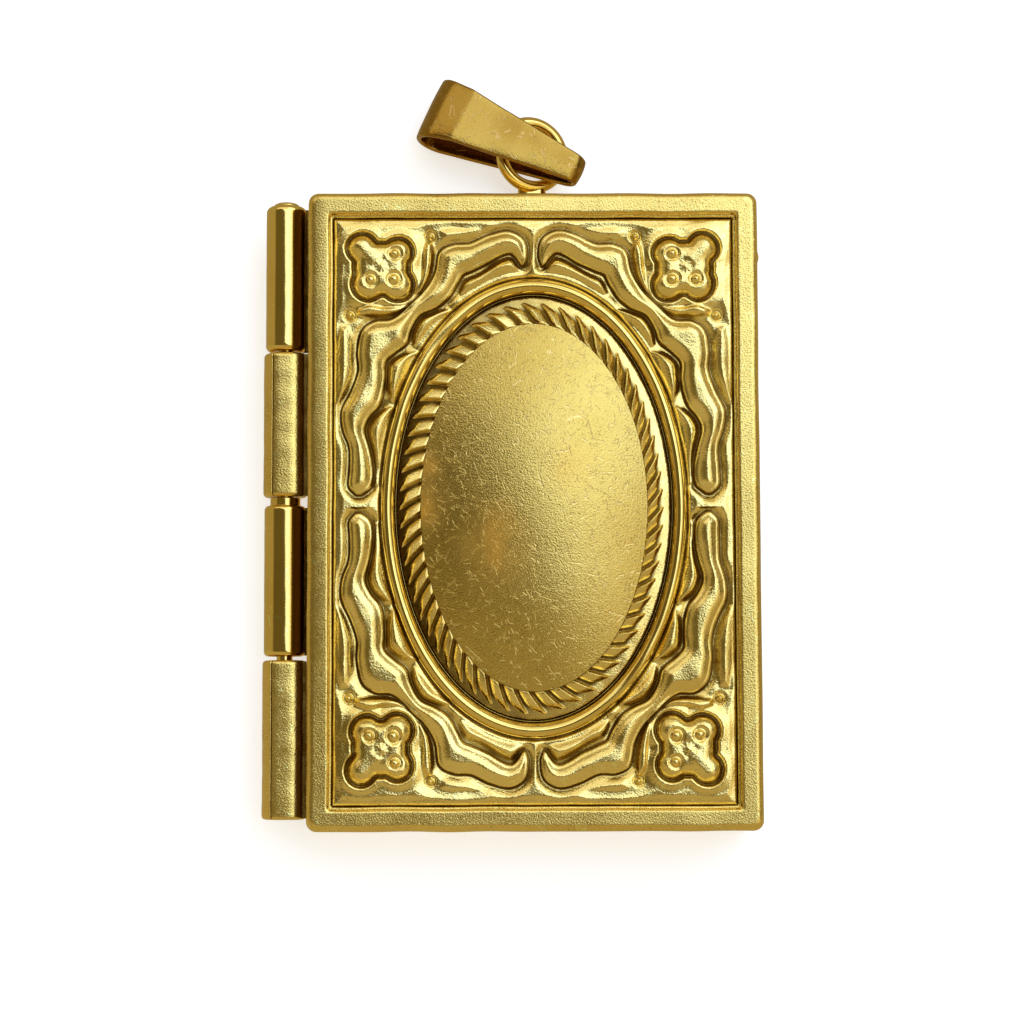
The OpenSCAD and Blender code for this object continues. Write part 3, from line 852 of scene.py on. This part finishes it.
# Points round the lip and the pin
round_steps = 48


def lip_piece(material):
    """The thumb lip at the opening edge"""
    t = full_turn(round_steps)
    r, x, y, low, high = 0.7, cover_high[0] - 0.7, 11.4, cover_t + seam_gap, cover_t + seam_gap + 0.45
    rows = [(0.08, low), (0.0, low + 0.06), (0.0, high - 0.12), (0.04, high - 0.04), (0.12, high)]
    loops = []
    for inset, z in rows:
        loops.append(np.c_[x + (r - inset) * np.cos(t), y + (r - inset) * np.sin(t), np.full(len(t), z)])
    points, faces = loft(loops, cap_first=True, cap_last=True)
    add_piece("thumb_lip", points, faces, "cover", "front_cover", material)


def pin_piece(material):
    """The hinge pin, with its low domed head at the top of the spine"""
    t = full_turn(round_steps)
    spine_top = KNUCKLES[0][1]
    head_from = spine_top + 0.03
    shaft_r, head_r, head_h = 0.35, 0.58, pin_high[1] - spine_top
    rows = [(0.02, pin_low[1]), (shaft_r - 0.05, pin_low[1]), (shaft_r, pin_low[1] + 0.05)]
    rows += [(shaft_r, y) for y in np.linspace(pin_low[1] + 0.1, spine_top, 30)]
    rows += [(head_r - 0.01, spine_top + 0.015), (head_r, head_from)]
    for a in quarter_turn(8)[1:-1]:
        rows.append((head_r * math.cos(a), head_from + (head_h - 0.03) * math.sin(a)))
    loops = [np.c_[hinge_x + r * np.cos(t), np.full(len(t), y), hinge_z + r * np.sin(t)] for r, y in rows]
    loops.append(np.c_[hinge_x + 0.02 * np.cos(t), np.full(len(t), pin_high[1]), hinge_z + 0.02 * np.sin(t)])
    points, faces = loft(loops, cap_first=True, cap_last=True, turned=True)
    add_piece("pin", points, faces, "case", "hinge_pin", material)


# The soldered ring: centre, radius of its wire's middle, wire radius, tilt and turn in degrees
loop_at = np.array([0.0, half_h + 2.37, 1.02])
loop_mid_r = 1.48
loop_wire_r = 0.28
loop_tilt = 22
loop_turn = 6


def hanging_ring_piece(material):
    turn = Matrix.Rotation(math.radians(loop_turn), 3, "Z")
    turn = np.array(turn @ Matrix.Rotation(math.radians(loop_tilt), 3, "Y"))
    wire = full_turn(28)
    loops = []
    for a in full_turn(120):
        thick = loop_wire_r * (1 + 0.02 * math.sin(3 * a + 1))
        r = loop_mid_r + thick * np.cos(wire)
        p = np.c_[r * math.cos(a), r * math.sin(a), thick * np.sin(wire)]
        loops.append(loop_at + p @ turn.T)
    points, faces = loft(loops, wrap=True, turned=True)
    add_piece("hanging_ring", points, faces, "case", "back_cover", material)


def ring_foot_piece(material):
    """The solder between the ring and the case's top wall"""
    t = full_turn(40)
    reach = loop_at[1] - loop_mid_r - half_h
    loops = []
    for s in np.linspace(0, 1, 12):
        wide = 0.62 + 0.5 * (1 - s) ** 3
        thick = 0.2 + 0.14 * (1 - s) ** 3
        y = half_h - 0.1 + s * (reach + 0.14)
        loops.append(np.c_[wide * np.cos(t), np.full(len(t), y), loop_at[2] + thick * np.sin(t)])
    points, faces = loft(loops, cap_first=True, cap_last=True, turned=True)
    add_piece("ring_solder", points, faces, "case", "back_cover", material)


# The bail: where its narrow fold begins, its turn, pitch and roll, and its side view with s along it
# and t towards its front
bail_at = np.array([2.21, 15.31, 1.87])
bail_turn, bail_pitch, bail_roll = 155.7, 2.7, 5.9
narrow_fold = (np.array([0.58, 0.0]), 0.58)
wide_fold = (np.array([6.42, -0.2]), 1.08)
bend_at = np.array([5.9, 1.1])
bail_w = 3.0
bail_narrow_w = 1.2
strap_t = 0.25
# The strap's round edges, the swell of its face, the dip of its front beside the crease, and its ripple
strap_r, strap_swell, strap_dish, strap_ripple = 0.1, 0.05, 0.05, 0.006


def touch(fold, point, left):
    """The angle at which a line from a point touches a fold"""
    d = point - fold[0]
    return math.atan2(d[1], d[0]) + (1 if left else -1) * math.acos(fold[1] / np.linalg.norm(d))


def bail_path():
    """Points and outward directions round the bail's side view"""
    leaf = touch(narrow_fold, bend_at, True)
    facet = touch(wide_fold, bend_at, False)
    d = wide_fold[0] - narrow_fold[0]
    taper = math.asin((wide_fold[1] - narrow_fold[1]) / np.linalg.norm(d))
    low = math.atan2(d[1], d[0]) - taper - math.pi / 2
    stations = []

    def arc(fold, start, end, steps):
        for a in np.linspace(start, end, steps):
            n = np.array([math.cos(a), math.sin(a)])
            stations.append((fold[0] + fold[1] * n, n))

    def straight(start, end, a, steps, dish=0.0):
        """A straight run, dished near its start"""
        n = np.array([math.cos(a), math.sin(a)])
        for k in range(1, steps):
            sag = dish * math.sin(2 * math.pi * min(0.5, k / steps))
            stations.append((start + (end - start) * k / steps - sag * n, n))

    def on(fold, a):
        return fold[0] + fold[1] * np.array([math.cos(a), math.sin(a)])

    arc(wide_fold, low, facet, 30)
    straight(on(wide_fold, facet), bend_at + 0.03 * (on(wide_fold, facet) - bend_at), facet, 8)
    middle = (facet + leaf) / 2
    n = np.array([math.cos(middle), math.sin(middle)])
    stations.append((bend_at, n))
    fold_start = on(narrow_fold, leaf)
    straight(bend_at + 0.006 * (fold_start - bend_at), fold_start, leaf, 46, strap_dish)
    arc(narrow_fold, leaf, low + 2 * math.pi, 24)
    straight(on(narrow_fold, low), on(wide_fold, low), low, 46)
    return stations


def bail_piece(material):
    """The folded strap that passes through the ring"""
    turn = Matrix.Rotation(math.radians(bail_turn), 3, "Z")
    turn = turn @ Matrix.Rotation(math.radians(bail_pitch), 3, "Y")
    turn = np.array(turn @ Matrix.Rotation(math.radians(bail_roll), 3, "X"))
    length = wide_fold[0][0] + wide_fold[1]
    r = strap_r
    loops = []
    for p, n in bail_path():
        half = (bail_narrow_w + (bail_w - bail_narrow_w) * p[0] / length) / 2
        section = []
        side, back = half - r, r - strap_t
        for cy, cn, start in ((side, -r, 0), (-side, -r, 90), (-side, back, 180), (side, back, 270)):
            for a in np.radians(np.linspace(start, start + 90, 5)):
                section.append((cy + r * math.cos(a), cn + r * math.sin(a)))
            if start in (0, 180):
                way = 1 if start == 0 else -1
                for k in np.linspace(0, 1, 10)[1:-1]:
                    rise = strap_swell * (1 - (1 - 2 * k) ** 2) if start == 0 else -strap_t
                    section.append((way * side * (1 - 2 * k), rise))
        section = np.array(section)
        local = np.c_[p[0] + n[0] * section[:, 1], section[:, 0], p[1] + n[1] * section[:, 1]]
        uneven = strap_ripple * ripple(local[:, 0], local[:, 1], 1.7, 71)
        local += uneven[:, None] * np.array([n[0], 0, n[1]])
        loops.append(bail_at + local @ turn.T)
    points, faces = loft(loops, wrap=True, turned=True)
    add_piece("bail_strap", points, faces, "case", "bail", material)


def floor():
    """A plain pale table"""
    mesh = bpy.data.meshes.new("table")
    size = 2.0
    corners = [(-size, -size, 0), (size, -size, 0), (size, size, 0), (-size, size, 0)]
    mesh.from_pydata(corners, [], [(0, 1, 2, 3)])
    table = bpy.data.objects.new("table", mesh)
    bpy.context.scene.collection.objects.link(table)
    table.location.z = -0.00002
    material = bpy.data.materials.new("pale table")
    material.use_nodes = True
    nodes, links = material.node_tree.nodes, material.node_tree.links
    # The table glows a little, as a light table does
    grain = nodes.new("ShaderNodeTexNoise")
    grain.inputs["Scale"].default_value = 60
    colours = nodes.new("ShaderNodeValToRGB")
    colours.color_ramp.elements[0].color = (0.86, 0.86, 0.85, 1)
    colours.color_ramp.elements[1].color = (0.9, 0.9, 0.9, 1)
    links.new(grain.outputs["Fac"], colours.inputs["Fac"])
    shader = nodes["Principled BSDF"]
    links.new(colours.outputs["Color"], shader.inputs["Base Color"])
    shader.inputs["Roughness"].default_value = 0.9
    shader.inputs["Specular IOR Level"].default_value = 0.1
    shader.inputs["Emission Color"].default_value = (1, 1, 1, 1)
    shader.inputs["Emission Strength"].default_value = 0.6
    mesh.materials.append(material)
    table.visible_glossy = False


def lights():
    """Soft warm grey all round, a broad window up to the right and a dark ceiling left of it"""
    world = bpy.data.worlds.new("studio")
    bpy.context.scene.world = world
    world.use_nodes = True
    tree = world.node_tree
    ray = tree.nodes.new("ShaderNodeSeparateXYZ")
    tree.links.new(tree.nodes.new("ShaderNodeTexCoord").outputs["Generated"], ray.inputs["Vector"])

    def climb(value, low, high):
        return ramp(tree, value, low, high, smooth=True)

    def both(*masks):
        """Where all the masks are 1"""
        product = masks[0]
        for mask in masks[1:]:
            product = maths(tree, "MULTIPLY", product, mask)
        return product

    # Where a ray meets a ceiling one unit above the locket
    height = maths(tree, "MAXIMUM", ray.outputs["Z"], 0.05)
    across = maths(tree, "DIVIDE", ray.outputs["X"], height)
    along = maths(tree, "DIVIDE", ray.outputs["Y"], height)

    # The walls, with a warm panel at the upper left and a dark ceiling
    wall = mix(tree, climb(along, -0.1, -0.4), (0.38, 0.32, 0.19), (0.45, 0.38, 0.23))
    panel_across = both(climb(across, -1.6, -1.2), climb(across, -0.4, -0.7))
    panel_along = both(climb(along, 0.5, 0.8), climb(along, 2.0, 1.5))
    wall = mix(tree, both(panel_across, panel_along), wall, (1.30, 1.05, 0.75))
    dark = both(climb(along, -0.35, -0.1), climb(along, 0.9, 0.5), climb(across, -2.4, -1.5))
    wall = mix(tree, dark, wall, (0.13, 0.105, 0.045))

    # The window's near edge runs aslant. Its light is whiter towards its top and dimmer at its side.
    edge = maths(tree, "ADD", across, maths(tree, "MULTIPLY", along, 1.3))
    window_along = both(climb(along, -2.4, -1.5), climb(along, 2.2, 1.3))
    window = both(climb(edge, 0.115, 0.285), climb(across, 1.8, 1.1), window_along)
    top = both(climb(along, 0.25, 0.6), climb(across, 0.5, 0.1))
    side = both(climb(across, 0.35, 0.8), climb(along, 0.5, 0.1))
    light = mix(tree, top, (1.55, 1.88, 2.6), (1.0, 1.0, 1.0))
    light = mix(tree, side, light, (0.88, 0.80, 0.64))
    tree.links.new(mix(tree, window, wall, light), tree.nodes["Background"].inputs["Color"])


def camera():
    """The photograph's view, found from the four corners of the cover's face in the picture"""
    tilt, swing, roll = -4.940, 0.612, 0.114
    shift = Vector((0.925, -0.199, -113.07)) * MM
    focal_px, frame_px, sensor_mm = 2500, 1024, 36
    turn = Matrix.Rotation(math.radians(roll), 4, "Z") @ Matrix.Rotation(math.radians(swing), 4, "Y")
    turn = turn @ Matrix.Rotation(math.radians(tilt), 4, "X")
    data = bpy.data.cameras.new("camera")
    data.sensor_width = sensor_mm
    data.lens = focal_px / frame_px * sensor_mm
    data.clip_start = 0.001
    holder = bpy.data.objects.new("camera", data)
    bpy.context.scene.collection.objects.link(holder)
    holder.matrix_world = (Matrix.Translation(shift) @ turn).inverted()
    bpy.context.scene.camera = holder


camera()
lights()
floor()
bpy.context.scene.view_settings.view_transform = "Standard"

gold = (0.95, 0.69, 0.185)
cast = brass("cast brass", (1.0, 0.77, 0.25), 0.18, grain=0.012, scratches=0, hairs=(0.5, 1.6))
satin = brass("satin brass", gold, 0.25, grain=0.012, scratches=0, hairs=(0.5, 1.6))
# The dome's brass is the same metal made darker, painted shade
shaded_brushed = brass("scratched brass", (0.74, 0.53, 0.13), 0.25, grain=0.016, scratches=0.006,
                hairs=(0.3, 0.9, 1.5, 2.1, 2.7))
# The bail's brass is darker still, painted shade; its grain and scratches are wear
shaded_worn = brass("worn brass", (0.46, 0.27, 0.045), 0.18, grain=0.006, scratches=0.004, hairs=(0.5, 1.6, 2.7))
polished = brass("polished brass", gold, 0.09, grain=0.0015, scratches=0, hairs=(0.5,))

panel_pieces(cast)
oval_ring_piece(polished)
rope_piece(cast)
dome_piece(shaded_brushed)
cover_shell_piece(satin)
case_shell_piece(satin)
for name, top, bottom, r, rounding, body in KNUCKLES:
    knuckle_piece(name, top, bottom, r, rounding, body, satin if body == "cover" else polished)
    if name != "knuckle_neck":
        leaf_piece(name + "_leaf", top, bottom, r, body, satin)
lip_piece(polished)
pin_piece(polished)
hanging_ring_piece(polished)
ring_foot_piece(polished)
bail_piece(shaded_worn)
